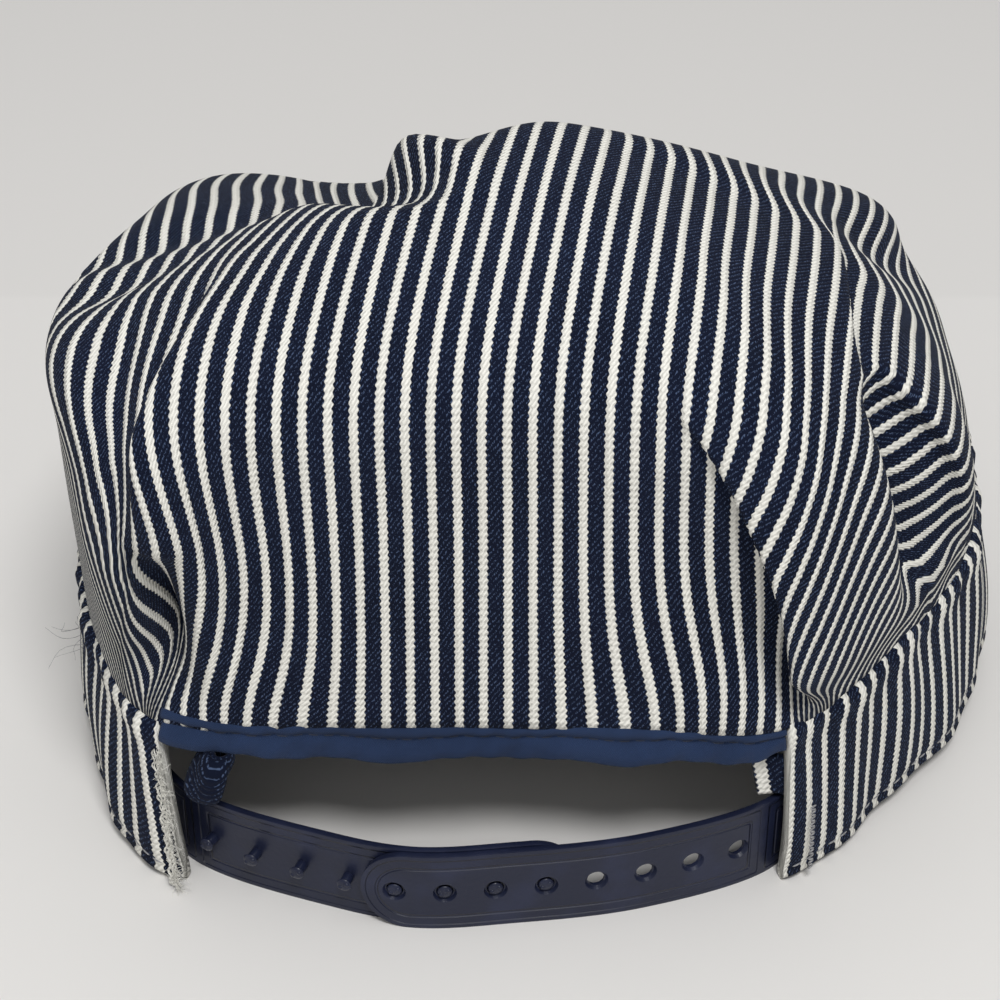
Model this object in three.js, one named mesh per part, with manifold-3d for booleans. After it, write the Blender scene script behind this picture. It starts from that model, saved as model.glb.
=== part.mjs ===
// A soft engineer cap with a full crown, a band open at the back, and a snap strap across the opening.
// Millimetres, +Z up. The wearer's right is +X, the peak points to +Y, and the cap stands on z = 0.
import * as THREE from "three";
import { mergeVertices } from "three/addons/utils/BufferGeometryUtils.js";
import Module from "manifold-3d";

// Driving sizes
const BAND_HEIGHT = 37;
const BAND_THICK = 2.6;
const CROWN_THICK = 1.8;
const BINDING_HEIGHT = 8;
const BINDING_THICK = 2.6;
const BINDING_INSET = 0.06; // from the band's ends, in sections
const PEAK_LENGTH = 63;
const PEAK_THICK = 2.8;
const PEAK_HALF_TURN = 1.75; // how far the peak reaches round the band, in sections each way from the front
const PEAK_ARCH = 6; // height of the middle of the peak's front edge above the ground
const PEAK_CORNER = 0.75; // share of its half width at which the peak's front edge meets the ground
const PEAK_ROUND = 0.62; // lower is a squarer front edge
const PEAK_FAN = 0.32; // how far the peak widens forwards
const PEAK_BOW = 3; // rise of the peak's middle above a straight slope
const PEAK_LEAST = 0.004; // keeps the peak's side edges from closing to a point
const STRAP_HEIGHT = 18;
const STRAP_THICK = 1.3;
const STRAP_GAP = 0.35;
const SNAP_PITCH = 9.525; // one hat size in eight
const SNAPS = 8;
const SNAPS_CLOSED = 4;
const TIP_MARGIN = 6.5; // from the strip's round end to its first snap
const HOLE_RADIUS = 1.75;
const PEG_RADIUS = 1.35;
const PEG_HEAD_RADIUS = 2;
const PEG_HEAD_HEIGHT = 0.7;
const PEG_OVERLAP = 0.2; // how far a peg's stem runs into its head, and into the strip below
const TUCK_START = 12; // distances along the strap between which the strip with pegs dips under the other
const TUCK_MARGIN = 4;
const OVERLAP_SHIFT = 1; // how far the strips' overlap lies left of the strap's middle
const SEAM_GAP = 0.5; // between pieces that are sewn together

// Mesh fineness
const CROWN_STEPS = 42;
const BAND_STEPS = 96;
const BINDING_STEPS = 24;
const PEAK_STEPS = 24;
const PEAK_ROWS = 7;
const STRAP_STEPS = 30;
const ROUND_STEPS = 14;
const ROUND_SHARE = 0.94; // share of its half circle that a strip's round end turns through
const SLOPE_STEP = 2e-3; // small step along a surface or line for its direction

// The cap's sections, one row each round the cap from the middle of the back by the wearer's right.
// x, y: where crown and band meet. low, spread: the band's lower edge, and how far outside that seam it is.
// out, outZ: the overhang above the seam. in, inZ: the shoulder, measured inwards from the seam.
// midZ: the height between shoulder and top.
const SECTION_COLUMNS = ["x", "y", "low", "spread", "out", "outZ", "in", "inZ", "midZ"];
const SECTION_ROWS = {
  back: [-12, -106, 0, 2.5, -5, 80, 9, 107, 121],
  back_right: [16, -107, 0, 2.5, -4, 80, 9, 106, 121],
  right_end: [44.5, -106, 0, 2, 0, 80, 9, 103, 118],
  right_back: [67, -84, 2, 3.5, 4, 76, 13, 98, 115],
  right_side_back: [85, -56, 4, 5, -6, 74, 21, 95, 112],
  right_side: [89, -26, 8, 5.5, -8, 74, 24, 93, 113],
  right_front: [81, 14, 12, 3, -5, 76, 10, 86, 104],
  front_right: [46, 47, 16, 2.5, -2, 68, 18, 82, 100],
  front: [1, 58, 18, 2.5, -2, 66, 22, 80, 94],
  front_left: [-43, 48, 16, 2.5, -3, 68, 20, 78, 95],
  left_front: [-77, 18, 13, 2.5, 0, 80, 14, 92, 97],
  left_side: [-92, -20, 9, 2.5, -1, 80, 16, 102, 105],
  left_side_back: [-93, -52, 6, 2.5, 0, 84, 5, 101, 113],
  left_back: [-86, -84, 3, 2.5, 2, 86, 1, 104, 118],
  left_end: [-72, -105, 0, 2.5, 6, 86, 4, 104, 120],
  back_left: [-43, -106, 0, 2.5, -2, 82, 8, 106, 121],
};
const TOP = new THREE.Vector3(-1, -30, 125);
const MID_SHARE = 0.55; // where the mid ring lies between the top and the shoulder
const RING_PLACES = [0, 0.34, 0.6, 0.76, 1]; // top, mid, shoulder, overhang and seam on the cloth
const RIGHT_END = 2; // section numbers of the band's two ends and of its front
const LEFT_END = 14;
const FRONT = 8;
const LEFT_SLANT = 3.5; // how far the foot of the band's left end runs on past its top
const SLANT_START = 13.5; // place from which the foot runs on

// Folds of the crown's cloth. Each runs through three points of the sheet, where a goes from -1 at the left
// edge to 1 at the right and b from -1 at the back edge to 1 at the front. width and height are millimetres,
// height is outwards, and a lap is high on the left of its way and low on the right, or the other way round
// if its height is negative.
const FOLD_COLUMNS = ["a0", "b0", "a1", "b1", "a2", "b2", "width", "height", "lap"];
const FOLD_ROWS = {
  right_lap: [0.3, -0.6, 0.74, -0.79, 1, -0.93, 15, 6.2, 1],
  right_recess: [0.38, -0.7, 0.6, -0.83, 0.86, -0.95, 8, -4.5, 0],
  right_crease: [0.5, 0.25, 0.52, -0.12, 0.63, -0.38, 6, -3.5, 1],
  right_cavity: [0.61, -0.3, 0.76, -0.36, 0.93, -0.34, 6.5, -17, 0],
  right_roof: [0.58, -0.3, 0.72, -0.24, 0.9, -0.24, 8, 3, 1],
  right_outer: [0.64, -0.06, 0.78, -0.12, 0.95, -0.12, 8, 2, 0],
  left_limb: [-0.5, -0.22, -0.64, -0.56, -0.82, -0.76, 5, -4, 0],
  left_crease: [-0.4, -0.2, -0.55, -0.55, -0.75, -0.78, 7, 3, 1],
  left_hollow: [-0.7, -0.79, -0.79, -0.87, -0.9, -0.95, 5, -14, 0],
  left_lip: [-0.72, -0.7, -0.83, -0.82, -0.92, -0.9, 5, -3, 1],
  left_bulge: [-0.54, -0.62, -0.66, -0.8, -0.76, -0.94, 7, 4, 0],
  left_dent: [-0.4, -0.66, -0.55, -0.8, -0.74, -0.95, 12, -4, 0],
  notch: [-0.1, -0.28, -0.205, 0.05, -0.32, 0.6, 9, -7, 1],
  ear_low: [-0.62, -0.12, -0.48, -0.09, -0.28, 0.02, 7, -3, 0],
  ear_high: [-0.64, 0.1, -0.48, 0.05, -0.28, 0.12, 7, -3, 0],
  top_right_lobe: [0.5, 0.28, 0.66, 0.46, 0.72, 0.8, 8, -4, 0],
};
const LAP_STEP = 5; // how far across its crest a lap falls from high to low
const HIGH_SIDE = 1.5; // widths of a lap's high and low sides, as shares of its width
const LOW_SIDE = 0.6;
const FOLD_PATH_STEPS = 12;
const FOLD_FADE = 0.1; // share of the sheet over which folds fade out towards the seam
const FOLD_TAPER = 0.8; // lower keeps a fold's full height nearer to its ends
const SEAM_REACH = 0.93; // a fold that ends further out than this runs on into the seam

// The strap's outer face seen from above, from inside the band's left end to inside its right end
const STRAP_PATH = [
  [-76.6, -92],
  [-68, -102.3],
  [-46, -114.4],
  [-26, -120.2],
  [-6, -119],
  [18, -115],
  [42.5, -104.9],
  [51, -94.5],
];

const wasm = await Module();
wasm.setup();

const named = (columns, row) => Object.fromEntries(columns.map((column, i) => [column, row[i]]));
const sections = Object.values(SECTION_ROWS).map((row) => named(SECTION_COLUMNS, row));
const wrap = (i) => ((i % sections.length) + sections.length) % sections.length;
const clamp = THREE.MathUtils.clamp;

// Outward direction in plan at a section, square to the line between its neighbours
function outward(i) {
  const before = sections[wrap(i - 1)];
  const after = sections[wrap(i + 1)];
  return new THREE.Vector3(after.y - before.y, before.x - after.x, 0).normalize();
}

// The control rings from the crown's top down to its seam and the band's foot, one point a section in each
function controlRings() {
  const rings = [[], [], [], [], [], []];
  sections.forEach((s, i) => {
    const seam = new THREE.Vector3(s.x, s.y, s.low + BAND_HEIGHT + SEAM_GAP);
    const overhang = seam.clone().addScaledVector(outward(i), s.out).setZ(s.outZ);
    const shoulder = seam.clone().addScaledVector(outward(i), -s.in).setZ(s.inZ);
    const mid = TOP.clone().lerp(shoulder, MID_SHARE).setZ(s.midZ);
    const foot = seam.clone().addScaledVector(outward(i), s.spread).setZ(s.low);
    [TOP.clone(), mid, shoulder, overhang, seam, foot].forEach((point, ring) => rings[ring].push(point));
  });
  return rings;
}
const rings = controlRings();

// Smooth curve from p1 to p2 that heads past p0 and p3
function smooth(p0, p1, p2, p3, w) {
  const along = (k) =>
    0.5 *
    (2 * p1[k] +
      (p2[k] - p0[k]) * w +
      (2 * p0[k] - 5 * p1[k] + 4 * p2[k] - p3[k]) * w * w +
      (3 * p1[k] - p0[k] - 3 * p2[k] + p3[k]) * w * w * w);
  return new THREE.Vector3(along("x"), along("y"), along("z"));
}

// Point of a ring at a place between sections, such as 2.5
function around(ring, place) {
  const i = Math.floor(place);
  return smooth(ring[wrap(i - 1)], ring[wrap(i)], ring[wrap(i + 1)], ring[wrap(i + 2)], place - i);
}

// Place round the cap of a point of the square sheet, whose back side runs from one band end to the other
function placeOf(a, b) {
  const reach = Math.max(Math.abs(a), Math.abs(b), 1e-9);
  if (b <= -Math.abs(a)) return (2 * a) / reach;
  if (a >= Math.abs(b)) return 4 + (2 * b) / reach;
  if (b >= Math.abs(a)) return 8 - (2 * a) / reach;
  return 12 - (2 * b) / reach;
}

// The crown without folds
function plainCrown(a, b) {
  const reach = Math.max(Math.abs(a), Math.abs(b));
  const place = placeOf(a, b);
  const points = rings.slice(0, 5).map((ring) => around(ring, place));
  const beyond = (first, second) => first.clone().multiplyScalar(2).sub(second);
  const control = [beyond(points[0], points[1]), ...points, beyond(points[4], points[3])];
  let i = 0;
  while (i < 3 && reach >= RING_PLACES[i + 1]) i += 1;
  const w = (reach - RING_PLACES[i]) / (RING_PLACES[i + 1] - RING_PLACES[i]);
  return smooth(control[i], control[i + 1], control[i + 2], control[i + 3], w);
}

// Outward normal of a surface over the sheet
function normalOf(surface, a, b) {
  const side = (da, db) => surface(clamp(a + da, -1, 1), clamp(b + db, -1, 1));
  const across = side(SLOPE_STEP, 0).sub(side(-SLOPE_STEP, 0));
  const forward = side(0, SLOPE_STEP).sub(side(0, -SLOPE_STEP));
  return across.cross(forward).normalize();
}

// Each fold with its path on the sheet and in space
const folds = Object.values(FOLD_ROWS).map((row) => {
  const fold = named(FOLD_COLUMNS, row);
  const path = [];
  for (let k = 0; k <= FOLD_PATH_STEPS; k += 1) {
    const s = k / FOLD_PATH_STEPS;
    const [start, middle, end] = [2 * (s - 0.5) * (s - 1), 4 * s * (1 - s), 2 * s * (s - 0.5)];
    const a = fold.a0 * start + fold.a1 * middle + fold.a2 * end;
    const b = fold.b0 * start + fold.b1 * middle + fold.b2 * end;
    path.push({ a, b, point: plainCrown(a, b) });
  }
  const toSeam = Math.max(Math.abs(fold.a2), Math.abs(fold.b2)) > SEAM_REACH;
  return { ...fold, path, toSeam };
});

// How far a fold lifts a point of the plain crown
function foldHeight(fold, a, b, point) {
  const near = { distance: Infinity, share: 0, side: 1 };
  for (let k = 0; k < FOLD_PATH_STEPS; k += 1) {
    const [from, to] = [fold.path[k], fold.path[k + 1]];
    const line = new THREE.Line3(from.point, to.point);
    const t = line.closestPointToPointParameter(point, true);
    const distance = line.at(t, new THREE.Vector3()).distanceTo(point);
    if (distance < near.distance) {
      const turn = (to.a - from.a) * (b - from.b) - (to.b - from.b) * (a - from.a);
      Object.assign(near, { distance, share: (k + t) / FOLD_PATH_STEPS, side: Math.sign(turn) });
    }
  }
  const fade = Math.sin(Math.PI * near.share * (fold.toSeam ? 0.5 : 1)) ** FOLD_TAPER;
  if (!fold.lap) return fold.height * fade * Math.exp(-((near.distance / fold.width) ** 2));
  const step = Math.tanh((near.side * near.distance) / LAP_STEP);
  const width = fold.width * (near.side * fold.height > 0 ? HIGH_SIDE : LOW_SIDE);
  return fold.height * fade * step * Math.exp(-near.distance / width);
}

// The crown with its folds
function crown(a, b) {
  const point = plainCrown(a, b);
  const reach = Math.max(Math.abs(a), Math.abs(b));
  const fade = THREE.MathUtils.smoothstep(1 - reach, 0, FOLD_FADE);
  const lift = folds.reduce((sum, fold) => sum + foldHeight(fold, a, b, point), 0);
  return point.addScaledVector(normalOf(plainCrown, a, b), lift * fade);
}

// A closed solid from stations, each a closed loop of as many points, capped at both ends
function sweep(loops) {
  const count = loops[0].length;
  const vertices = loops.flat().flatMap((p) => [p.x, p.y, p.z]);
  const index = [];
  const at = (i, j) => i * count + (j % count);
  for (let i = 0; i < loops.length - 1; i += 1) {
    for (let j = 0; j < count; j += 1) {
      index.push(at(i, j), at(i + 1, j + 1), at(i, j + 1), at(i, j), at(i + 1, j), at(i + 1, j + 1));
    }
  }
  for (let j = 1; j < count - 1; j += 1) {
    index.push(at(0, 0), at(0, j), at(0, j + 1));
    index.push(at(loops.length - 1, 0), at(loops.length - 1, j + 1), at(loops.length - 1, j));
  }
  const geometry = new THREE.BufferGeometry();
  geometry.setAttribute("position", new THREE.Float32BufferAttribute(vertices, 3));
  geometry.setIndex(index);
  return geometry;
}

// A cloth wall: a grid of outer and inner points, joined round their common rim
function clothWall(columns, rows, outer, inner) {
  const vertices = [];
  const index = [];
  const perSide = (columns + 1) * (rows + 1);
  for (const surface of [outer, inner]) {
    for (let j = 0; j <= rows; j += 1) {
      for (let i = 0; i <= columns; i += 1) vertices.push(...surface(i / columns, j / rows).toArray());
    }
  }
  const at = (i, j) => j * (columns + 1) + i;
  const quad = (p, q, r, s) => index.push(p, q, r, p, r, s);
  for (let j = 0; j < rows; j += 1) {
    for (let i = 0; i < columns; i += 1) {
      const corners = [at(i, j), at(i + 1, j), at(i + 1, j + 1), at(i, j + 1)];
      quad(...corners);
      quad(...corners.reverse().map((k) => k + perSide));
    }
  }
  const rim = [];
  for (let i = 0; i < columns; i += 1) rim.push(at(i, 0));
  for (let j = 0; j < rows; j += 1) rim.push(at(columns, j));
  for (let i = columns; i > 0; i -= 1) rim.push(at(i, rows));
  for (let j = rows; j > 0; j -= 1) rim.push(at(0, j));
  rim.forEach((k, n) => {
    const next = rim[(n + 1) % rim.length];
    quad(k, k + perSide, next + perSide, next);
  });
  const geometry = new THREE.BufferGeometry();
  geometry.setAttribute("position", new THREE.Float32BufferAttribute(vertices, 3));
  geometry.setIndex(index);
  return geometry;
}

// The crown's wall has its thickness inwards, level at the seam so that the edge stays above the band
function crownGeometry() {
  const inner = (a, b) => {
    const normal = normalOf(crown, a, b);
    const reach = Math.max(Math.abs(a), Math.abs(b));
    if (reach > 1 - 1e-6) normal.setZ(0).normalize();
    return crown(a, b).addScaledVector(normal, -CROWN_THICK);
  };
  const spread = (surface) => (u, v) => surface(2 * u - 1, 2 * v - 1);
  return clothWall(CROWN_STEPS, CROWN_STEPS, spread(crown), spread(inner));
}

// Point of the crown's seam, the outward direction there and the foot of the band below it
function seamAt(place) {
  const point = around(rings[4], place);
  const along = around(rings[4], place + SLOPE_STEP).sub(around(rings[4], place - SLOPE_STEP));
  along.setZ(0).normalize();
  const out = new THREE.Vector3(along.y, -along.x, 0);
  const slant = LEFT_SLANT * THREE.MathUtils.smoothstep(place, SLANT_START, LEFT_END);
  return { point, out, foot: around(rings[5], place).addScaledVector(along, slant) };
}

// The band runs from its right end round the front to its left end
function bandGeometry() {
  const loops = [];
  for (let k = 0; k <= BAND_STEPS; k += 1) {
    const place = RIGHT_END + ((LEFT_END - RIGHT_END) * k) / BAND_STEPS;
    const { point, out, foot } = seamAt(place);
    const top = point.clone().setZ(point.z - SEAM_GAP);
    const inner = (corner) => corner.clone().addScaledVector(out, -BAND_THICK);
    loops.push([foot, top, inner(top), inner(foot)]);
  }
  return sweep(loops);
}

// The binding closes the crown's free edge between the band's two ends
function bindingGeometry() {
  const loops = [];
  const [from, to] = [LEFT_END - sections.length + BINDING_INSET, RIGHT_END - BINDING_INSET];
  const outer = (BINDING_THICK - CROWN_THICK) / 2;
  for (let k = 0; k <= BINDING_STEPS; k += 1) {
    const { point, out } = seamAt(from + ((to - from) * k) / BINDING_STEPS);
    const corner = (offset, z) => point.clone().addScaledVector(out, offset).setZ(z);
    const top = point.z - SEAM_GAP;
    loops.push([
      corner(outer, top - BINDING_HEIGHT),
      corner(outer, top),
      corner(outer - BINDING_THICK, top),
      corner(outer - BINDING_THICK, top - BINDING_HEIGHT),
    ]);
  }
  return sweep(loops);
}

// The peak slopes from under the band's front down to the ground at its two front corners
function peakGeometry() {
  const top = (u, v) => {
    const p = 2 * u - 1;
    const { point, foot } = seamAt(FRONT - p * PEAK_HALF_TURN);
    const reach = PEAK_LENGTH * Math.max(1 - p * p, PEAK_LEAST) ** PEAK_ROUND;
    const root = point.clone().setZ(foot.z - SEAM_GAP);
    const arch = PEAK_ARCH * Math.max(1 - (p / PEAK_CORNER) ** 2, 0);
    const sideways = THREE.MathUtils.smoothstep(Math.abs(p), PEAK_CORNER, 1);
    const end = THREE.MathUtils.lerp(arch + PEAK_THICK, root.z, sideways);
    const forward = new THREE.Vector3(PEAK_FAN * p, 1, 0).normalize();
    const bow = PEAK_BOW * Math.sin(Math.PI * v) * (1 - p * p);
    return root.addScaledVector(forward, reach * v).setZ(THREE.MathUtils.lerp(root.z, end, v) + bow);
  };
  const bottom = (u, v) => top(u, v).add(new THREE.Vector3(0, 0, -PEAK_THICK));
  return clothWall(PEAK_STEPS, PEAK_ROWS, top, bottom);
}

const strapCurve = new THREE.CatmullRomCurve3(
  STRAP_PATH.map(([x, y]) => new THREE.Vector3(x, y, 0)),
  false,
  "centripetal",
);
const strapLength = strapCurve.getLength();

// Frame of the strap at a distance along it from the left
function strapAt(distance) {
  const u = clamp(distance / strapLength, 0, 1);
  const along = strapCurve.getTangentAt(u);
  return { point: strapCurve.getPointAt(u), out: new THREE.Vector3(along.y, -along.x, 0) };
}

// A strip with one round end: depth is how far its outer face lies inside the strap's path
function stripGeometry(squareEnd, roundEnd, depth) {
  const loops = [];
  const radius = STRAP_HEIGHT / 2;
  const middle = radius;
  const sign = Math.sign(roundEnd - squareEnd);
  const straight = Math.abs(roundEnd - squareEnd) - radius;
  const places = [];
  for (let k = 0; k <= STRAP_STEPS; k += 1) places.push([(straight * k) / STRAP_STEPS, radius]);
  for (let k = 1; k <= ROUND_STEPS / 2; k += 1) {
    const turn = (ROUND_SHARE * Math.PI * k) / ROUND_STEPS;
    places.push([straight + radius * Math.sin(turn), radius * Math.cos(turn)]);
  }
  for (const [run, half] of places) {
    const { point, out } = strapAt(squareEnd + sign * run);
    const corner = (inside, z) => point.clone().addScaledVector(out, -inside).setZ(z);
    const inside = depth(squareEnd + sign * run);
    const loop = [
      corner(inside, middle - half),
      corner(inside, middle + half),
      corner(inside + STRAP_THICK, middle + half),
      corner(inside + STRAP_THICK, middle - half),
    ];
    loops.push(sign > 0 ? loop : loop.reverse());
  }
  return sweep(loops);
}

// Round pin or cutter, with its axis across the strap
function acrossStrap(distance, radius, from, to) {
  const { point, out } = strapAt(distance);
  const pin = new THREE.CylinderGeometry(radius, radius, to - from, ROUND_STEPS);
  const turn = new THREE.Quaternion().setFromUnitVectors(new THREE.Vector3(0, 1, 0), out);
  const middle = point.clone().addScaledVector(out, (from + to) / 2);
  middle.z = STRAP_HEIGHT / 2;
  return pin.applyQuaternion(turn).translate(middle.x, middle.y, middle.z);
}

function toManifold(geometry) {
  const bare = geometry.clone();
  bare.deleteAttribute("normal");
  bare.deleteAttribute("uv");
  const merged = mergeVertices(bare, 1e-4);
  const vertProperties = new Float32Array(merged.attributes.position.array);
  const triVerts = new Uint32Array(merged.index.array);
  return new wasm.Manifold(new wasm.Mesh({ numProp: 3, vertProperties, triVerts }));
}

function fromManifold(solid) {
  const mesh = solid.getMesh();
  const geometry = new THREE.BufferGeometry();
  geometry.setAttribute("position", new THREE.BufferAttribute(mesh.vertProperties, 3));
  geometry.setIndex(new THREE.BufferAttribute(mesh.triVerts, 1));
  return geometry;
}

// The strip with holes lies outside, from the right. The strip with pegs comes from the left, under it.
const middleOfOverlap = strapLength / 2 - OVERLAP_SHIFT;
const overlap = SNAP_PITCH * (SNAPS_CLOSED - 1) + 2 * TIP_MARGIN;
const holesTip = middleOfOverlap - overlap / 2;
const pegsTip = middleOfOverlap + overlap / 2;
const holePlaces = Array.from({ length: SNAPS }, (_, i) => holesTip + TIP_MARGIN + i * SNAP_PITCH);
const pegPlaces = Array.from({ length: SNAPS }, (_, i) => pegsTip - TIP_MARGIN - i * SNAP_PITCH);
const underDepth = STRAP_THICK + STRAP_GAP;
const tucked = (distance) => THREE.MathUtils.smoothstep(distance, TUCK_START, holesTip - TUCK_MARGIN);
const pegsDepth = (distance) => underDepth * tucked(distance);

function holesStripGeometry() {
  const cutters = holePlaces.map((d) => acrossStrap(d, HOLE_RADIUS, -2 * STRAP_THICK, STRAP_THICK));
  const strip = toManifold(stripGeometry(strapLength, holesTip, () => 0));
  return fromManifold(cutters.reduce((solid, cutter) => solid.subtract(toManifold(cutter)), strip));
}

function pegsStripGeometry() {
  const strip = toManifold(stripGeometry(0, pegsTip, pegsDepth));
  const raised = STRAP_GAP + PEG_HEAD_HEIGHT;
  const pegs = pegPlaces.flatMap((d) => {
    const face = underDepth - pegsDepth(d);
    const stem = acrossStrap(d, PEG_RADIUS, face - underDepth - PEG_OVERLAP, face + STRAP_GAP + PEG_OVERLAP);
    return [stem, acrossStrap(d, PEG_HEAD_RADIUS, face + STRAP_GAP, face + raised)];
  });
  return fromManifold(pegs.reduce((solid, peg) => solid.add(toManifold(peg)), strip));
}

const stripedCloth = { color: 0x3a4460, roughness: 0.9, metalness: 0 };
const bindingCloth = { color: 0x243a69, roughness: 0.9, metalness: 0 };
const strapPlastic = { color: 0x2a2e3c, roughness: 0.4, metalness: 0 };

const cap = new THREE.Group();
const pieces = [
  ["crown", crownGeometry, stripedCloth],
  ["head_band", bandGeometry, stripedCloth],
  ["back_binding", bindingGeometry, bindingCloth],
  ["peak", peakGeometry, stripedCloth],
  ["strap_pegs", pegsStripGeometry, strapPlastic],
  ["strap_holes", holesStripGeometry, strapPlastic],
];
for (const [name, make, look] of pieces) {
  const mesh = new THREE.Mesh(make(), new THREE.MeshStandardMaterial(look));
  mesh.name = name;
  cap.add(mesh);
}

export default cap;
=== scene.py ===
"""A soft engineer cap: striped crown, band, peak, bound back opening and snap strap."""

import math

import bmesh
import bpy
import numpy as np
from bpy.props import FloatProperty, FloatVectorProperty, IntProperty, PointerProperty
from mathutils import Matrix, Vector


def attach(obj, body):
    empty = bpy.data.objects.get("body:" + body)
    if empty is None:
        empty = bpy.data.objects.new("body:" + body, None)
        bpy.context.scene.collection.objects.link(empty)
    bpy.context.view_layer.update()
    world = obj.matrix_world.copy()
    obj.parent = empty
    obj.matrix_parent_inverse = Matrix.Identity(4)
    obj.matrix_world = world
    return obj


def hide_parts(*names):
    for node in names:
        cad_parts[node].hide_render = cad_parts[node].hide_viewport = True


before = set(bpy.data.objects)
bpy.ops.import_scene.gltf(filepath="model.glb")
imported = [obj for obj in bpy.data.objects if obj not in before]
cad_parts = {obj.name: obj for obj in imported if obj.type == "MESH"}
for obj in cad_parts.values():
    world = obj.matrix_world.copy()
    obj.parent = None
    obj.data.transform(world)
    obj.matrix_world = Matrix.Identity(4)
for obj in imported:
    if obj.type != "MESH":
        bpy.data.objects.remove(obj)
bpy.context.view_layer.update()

bl_info = {
    "name": "Engineer cap",
    "version": (1, 0, 0),
    "blender": (4, 5, 0),
    "location": "View3D > Sidebar > Cap",
    "description": "Makes a soft striped engineer cap with a snap strap across its back opening",
    "category": "Add Mesh",
}

# Tables and lengths below are in millimetres. The meshes are in metres.
MM = 0.001

# The cap's sections round the cap from the middle of the back by the wearer's right.
# x, y: where crown and band meet. low, spread: the band's lower edge, and how far it stands outside.
# out, out_z: the overhang above the seam. inward, in_z: the shoulder, measured inwards from the seam.
# mid_z: the height between shoulder and top.
SECTION_COLUMNS = ("x", "y", "low", "spread", "out", "out_z", "inward", "in_z", "mid_z")
SECTION_ROWS = {
    "back": (-12, -106, 0, 2.5, -5, 80, 9, 107, 121),
    "back_right": (16, -107, 0, 2.5, -4, 80, 9, 106, 121),
    "right_end": (44.5, -106, 0, 2, 0, 80, 9, 103, 118),
    "right_back": (67, -84, 2, 3.5, 4, 76, 13, 98, 115),
    "right_side_back": (85, -56, 4, 5, -6, 74, 21, 95, 112),
    "right_side": (89, -26, 8, 5.5, -8, 74, 24, 93, 113),
    "right_front": (81, 14, 12, 3, -5, 76, 10, 86, 104),
    "front_right": (46, 47, 16, 2.5, -2, 68, 18, 82, 100),
    "front": (1, 58, 18, 2.5, -2, 66, 22, 80, 94),
    "front_left": (-43, 48, 16, 2.5, -3, 68, 20, 78, 95),
    "left_front": (-77, 18, 13, 2.5, 0, 80, 14, 92, 97),
    "left_side": (-92, -20, 9, 2.5, -1, 80, 16, 102, 105),
    "left_side_back": (-93, -52, 6, 2.5, 0, 84, 5, 101, 113),
    "left_back": (-86, -84, 3, 2.5, 2, 86, 1, 104, 118),
    "left_end": (-72, -105, 0, 2.5, 6, 86, 4, 104, 120),
    "back_left": (-43, -106, 0, 2.5, -2, 82, 8, 106, 121),
}
TOP = (-1, -30, 125)
MID_SHARE = 0.55
RING_PLACES = (0, 0.34, 0.6, 0.76, 1)
RIGHT_END = 2
LEFT_END = 14
FRONT = 8
LEFT_SLANT = 3.5

# Folds of the crown. Each runs through three points of the square sheet, a from the left edge to the right
# and b from the back edge to the front. A fold with an overhang is a lap: it is high on the left of its way,
# or on the right if its height is negative, and the high side hangs over the low one.
FOLD_COLUMNS = ("a0", "b0", "a1", "b1", "a2", "b2", "width", "height", "overhang")
FOLD_ROWS = {
    "right_lap": (0.3, -0.6, 0.74, -0.79, 1, -0.93, 15, 6.2, 10),
    "right_recess": (0.38, -0.7, 0.6, -0.83, 0.86, -0.95, 8, -4.5, 0),
    "right_crease": (0.5, 0.25, 0.52, -0.12, 0.63, -0.38, 6, -3.5, 3),
    "right_cavity": (0.61, -0.3, 0.76, -0.36, 0.93, -0.34, 6.5, -17, 0),
    "right_roof": (0.58, -0.3, 0.72, -0.24, 0.9, -0.24, 8, 3, 5),
    "right_outer": (0.64, -0.06, 0.78, -0.12, 0.95, -0.12, 8, 2, 0),
    "left_limb": (-0.5, -0.22, -0.64, -0.56, -0.82, -0.76, 5, -4, 0),
    "left_crease": (-0.4, -0.2, -0.55, -0.55, -0.75, -0.78, 7, 3, 4),
    "left_hollow": (-0.7, -0.79, -0.79, -0.87, -0.9, -0.95, 5, -14, 0),
    "left_lip": (-0.72, -0.7, -0.83, -0.82, -0.92, -0.9, 5, -3, 4),
    "left_bulge": (-0.54, -0.62, -0.66, -0.8, -0.76, -0.94, 7, 4, 0),
    "left_dent": (-0.4, -0.66, -0.55, -0.8, -0.74, -0.95, 12, -4, 0),
    "notch_ridge": (-0.08, -0.28, -0.19, 0.05, -0.3, 0.6, 6, 5, 0),
    "notch_valley": (-0.15, -0.28, -0.265, 0.05, -0.375, 0.6, 8, -7, 0),
    "left_ridge": (-0.58, 0.08, -0.6, -0.16, -0.64, -0.42, 6, 1.5, 0),
    "ear_low": (-0.62, -0.12, -0.48, -0.09, -0.28, 0.02, 7, -3, 0),
    "ear_high": (-0.64, 0.1, -0.48, 0.05, -0.28, 0.12, 7, -3, 0),
    "top_right_lobe": (0.5, 0.28, 0.66, 0.46, 0.72, 0.8, 8, -4, 0),
}

# Where the cloth is pulled in its own plane, so that its stripes bend. shift is towards the left, turn is
# how much further the cloth is pulled one reach_b nearer to the front.
DRIFT_COLUMNS = ("a", "b", "reach_a", "reach_b", "shift", "turn")
DRIFT_ROWS = {
    "left_outer": (-0.74, -0.4, 0.12, 0.24, 0, 12),
    "left_middle": (-0.66, -0.82, 0.2, 0.09, -2, 0),
    "left_seam": (-0.7, -1, 0.25, 0.08, 4, 0),
    "right_seam": (0.62, -1, 0.3, 0.13, -5.5, 0),
}
LAP_STEP = 3.2
HIGH_SIDE = 1.5
LOW_SIDE = 0.6
FOLD_PATH_STEPS = 20
FOLD_FADE = 0.1
FOLD_TAPER = 0.8
SEAM_REACH = 0.93
RELAX_ROUNDS = 60

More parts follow.
